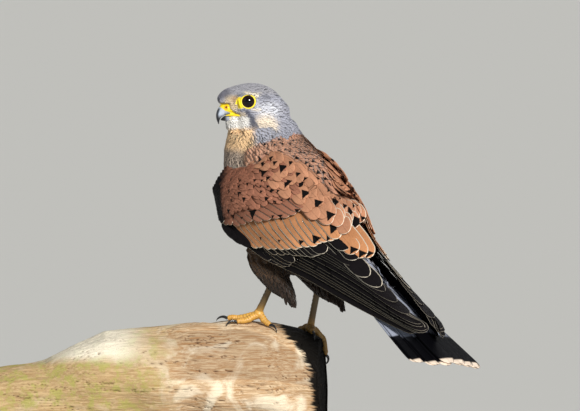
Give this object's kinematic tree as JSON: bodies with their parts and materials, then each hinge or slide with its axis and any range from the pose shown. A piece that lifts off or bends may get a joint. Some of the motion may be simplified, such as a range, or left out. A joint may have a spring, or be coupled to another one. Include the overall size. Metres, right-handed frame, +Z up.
{
  "type": "common kestrel on a short log",
  "caption": "Life-size still model of a standing common kestrel, folded wings and head turned left, gripping a short cut log held on a flat display stand.",
  "frame": {"origin": "centre of the whole model's box, at the underside of the stand's base", "axes": "+X the way the bird's breast points, +Y the bird's left, +Z up"},
  "size_m": [0.3576, 0.2572, 0.3065],
  "materials": {
    "grey_plumage": "matt feathering, blue-grey with pale streaked cheeks and throat",
    "breast_plumage": "matt feathering, buff with dark streaks",
    "mantle_plumage": "matt feathering, chestnut above with black spots, buff and streaked below",
    "wing_feathers": "smooth vanes, chestnut with black spots, flight feathers dark brown with pale edges",
    "tail_feathers": "smooth vanes, blue-grey with a broad black band and white tips",
    "thigh_plumage": "loose matt feathering, warm buff with fine dark streaks",
    "leg_skin": "scaled bare skin, yellow",
    "claw_horn": "polished black horn",
    "bill_horn": "polished blue-grey horn, black at the tip, yellow cere",
    "eye": "wet dark brown eye",
    "weathered_wood": "bare weathered hardwood with grain and cracks",
    "stand_wood": "dark waxed hardwood",
    "stand_steel": "brushed steel rod"
  },
  "bodies": {
    "root": {"head": "grey_plumage", "neck": "breast_plumage", "torso": "mantle_plumage", "tail": "tail_feathers", "wing_left": "wing_feathers", "wing_right": "wing_feathers", "thigh_left": "thigh_plumage", "thigh_right": "thigh_plumage", "shank_left": "leg_skin", "shank_right": "leg_skin", "foot_left": "leg_skin", "foot_right": "leg_skin", "eye_left": "eye", "eye_right": "eye", "bill_upper": "bill_horn", "bill_lower": "bill_horn", "perch_branch": "weathered_wood", "stand_base": "stand_wood", "stand_rod_front": "stand_steel", "stand_rod_rear": "stand_steel", "claw_left_inner": "claw_horn", "claw_left_middle": "claw_horn", "claw_left_outer": "claw_horn", "claw_left_hind": "claw_horn", "claw_right_inner": "claw_horn", "claw_right_middle": "claw_horn", "claw_right_outer": "claw_horn", "claw_right_hind": "claw_horn"}
  },
  "joints": []
}
